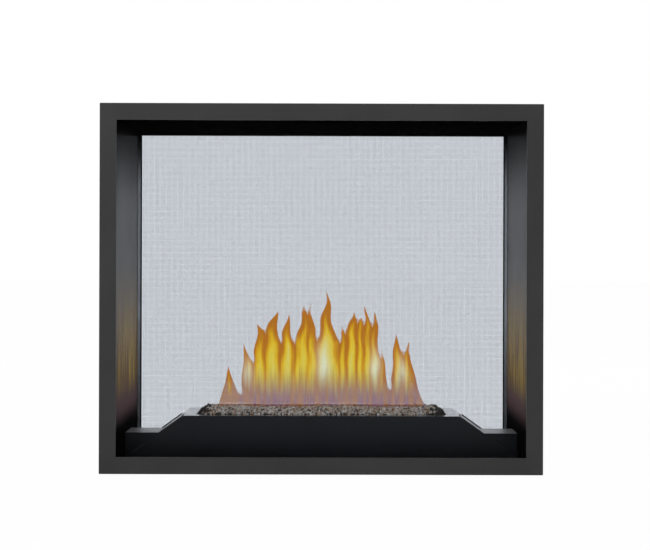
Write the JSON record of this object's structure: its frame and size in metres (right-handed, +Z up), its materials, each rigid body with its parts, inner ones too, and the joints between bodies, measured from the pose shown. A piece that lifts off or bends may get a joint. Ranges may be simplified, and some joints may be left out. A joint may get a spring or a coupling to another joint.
{
  "type": "direct vent gas fireplace",
  "caption": "See-through direct vent gas fireplace: sealed steel firebox with tilting glazed doors, mesh screens in flat trim, a stepped burner with an ember bed, and a coaxial top vent.",
  "frame": {"origin": "middle of the footprint at the bottom of the base rails", "axes": "+X to the right seen from the front, +Y towards the rear face, +Z up"},
  "size_m": [1.132, 0.58, 0.929],
  "materials": {
    "trim_paint": "fine powder coat, charcoal",
    "screen_black": "matt black paint",
    "reflector_black": "polished black glass",
    "firebox_black": "high temperature matt black paint",
    "housing_black": "satin black paint",
    "door_glass": "clear ceramic glass",
    "rope_seal": "woven glass fibre",
    "embers": "crushed lava and vermiculite",
    "gas_brass": "machined brass",
    "valve_cast": "die-cast aluminium",
    "lever_red": "red enamel",
    "control_black": "moulded black plastic",
    "hardware_steel": "plain steel",
    "casing_zinc": "galvanised sheet steel"
  },
  "bodies": {
    "casing": {"base_rails": "casing_zinc", "burner_housing": "housing_black", "burner_tube": "hardware_steel", "casing_base": "casing_zinc", "casing_left": "casing_zinc", "casing_right": "casing_zinc", "casing_screws": "hardware_steel", "casing_top": "casing_zinc", "ember_bed": "embers", "ember_tray": "firebox_black", "exhaust_baffle": "firebox_black", "exhaust_collar": "casing_zinc", "feed_pipe": "hardware_steel", "firebox_ceiling": "firebox_black", "firebox_floor": "firebox_black", "front_face_frame": "firebox_black", "gas_inlet": "firebox_black", "gas_orifice": "gas_brass", "gas_valve": "valve_cast", "hinge_brackets": "hardware_steel", "hinge_pins": "hardware_steel", "igniter_body": "control_black", "intake_collar": "casing_zinc", "left_firebox_wall": "firebox_black", "left_reflector_panel": "reflector_black", "manifold_pipe": "hardware_steel", "mounting_tabs": "casing_zinc", "pilot_burner": "hardware_steel", "pilot_probes": "hardware_steel", "rear_face_frame": "firebox_black", "relief_hinge_rods": "hardware_steel", "right_firebox_wall": "firebox_black", "right_reflector_panel": "reflector_black", "shutoff_valve": "gas_brass", "spring_catches": "hardware_steel"},
    "front_door": {"front_door_frame": "firebox_black", "front_glass": "door_glass", "front_glass_gasket": "rope_seal", "front_door_seal": "rope_seal"},
    "rear_door": {"rear_door_frame": "firebox_black", "rear_glass": "door_glass", "rear_glass_gasket": "rope_seal", "rear_door_seal": "rope_seal"},
    "front_surround": {"front_trim": "trim_paint", "front_screen_frame": "screen_black", "front_screen_mesh": "screen_black", "front_locating_pegs": "screen_black"},
    "rear_surround": {"rear_trim": "trim_paint", "rear_screen_frame": "screen_black", "rear_screen_mesh": "screen_black", "rear_locating_pegs": "screen_black"},
    "left_step_cover": {"left_step_cover": "housing_black"},
    "right_step_cover": {"right_step_cover": "housing_black"},
    "valve_knob": {"valve_knob": "control_black"},
    "flame_knob": {"flame_knob": "control_black"},
    "igniter_button": {"igniter_button": "control_black"},
    "shutoff_lever": {"shutoff_lever": "lever_red"},
    "air_shutter": {"air_shutter": "hardware_steel"},
    "left_relief_flap": {"left_relief_flap": "firebox_black"},
    "right_relief_flap": {"right_relief_flap": "firebox_black"}
  },
  "joints": [
    {"name": "front_door_tilt", "type": "hinge", "parent": "casing", "child": "front_door", "pos_m": [0, -0.258, 0.02], "axis": [1, 0, 0], "range_deg": [0, 15]},
    {"name": "rear_door_tilt", "type": "hinge", "parent": "casing", "child": "rear_door", "pos_m": [0, 0.258, 0.02], "axis": [-1, 0, 0], "range_deg": [0, 15]},
    {"name": "front_surround_pull", "type": "slide", "parent": "front_door", "child": "front_surround", "axis": [0, -1, 0], "range_m": [0, 0.08]},
    {"name": "rear_surround_pull", "type": "slide", "parent": "rear_door", "child": "rear_surround", "axis": [0, 1, 0], "range_m": [0, 0.08]},
    {"name": "left_cover_lift", "type": "slide", "parent": "casing", "child": "left_step_cover", "axis": [0, 0, 1], "range_m": [0, 0.08]},
    {"name": "right_cover_lift", "type": "slide", "parent": "casing", "child": "right_step_cover", "axis": [0, 0, 1], "range_m": [0, 0.08]},
    {"name": "valve_knob_turn", "type": "hinge", "parent": "casing", "child": "valve_knob", "pos_m": [-0.465, -0.068, 0.0635], "axis": [0, 0, 1], "range_deg": [0, 180]},
    {"name": "flame_knob_turn", "type": "hinge", "parent": "casing", "child": "flame_knob", "pos_m": [-0.435, -0.068, 0.0635], "axis": [0, 0, 1], "range_deg": [0, 120]},
    {"name": "igniter_push", "type": "slide", "parent": "casing", "child": "igniter_button", "axis": [0, 0, -1], "range_m": [0, 0.005], "stiffness_N_per_m": 600},
    {"name": "shutoff_turn", "type": "hinge", "parent": "casing", "child": "shutoff_lever", "pos_m": [0.445, -0.085, 0.0655], "axis": [0, 0, 1], "range_deg": [0, 90]},
    {"name": "air_shutter_turn", "type": "hinge", "parent": "casing", "child": "air_shutter", "pos_m": [-0.276, 0, 0.0945], "axis": [1, 0, 0], "range_deg": [0, 60]},
    {"name": "left_relief_lift", "type": "hinge", "parent": "casing", "child": "left_relief_flap", "pos_m": [-0.269, 0, 0.8847], "axis": [0, 1, 0], "range_deg": [0, 8]},
    {"name": "right_relief_lift", "type": "hinge", "parent": "casing", "child": "right_relief_flap", "pos_m": [0.269, 0, 0.8847], "axis": [0, -1, 0], "range_deg": [0, 8]}
  ]
}
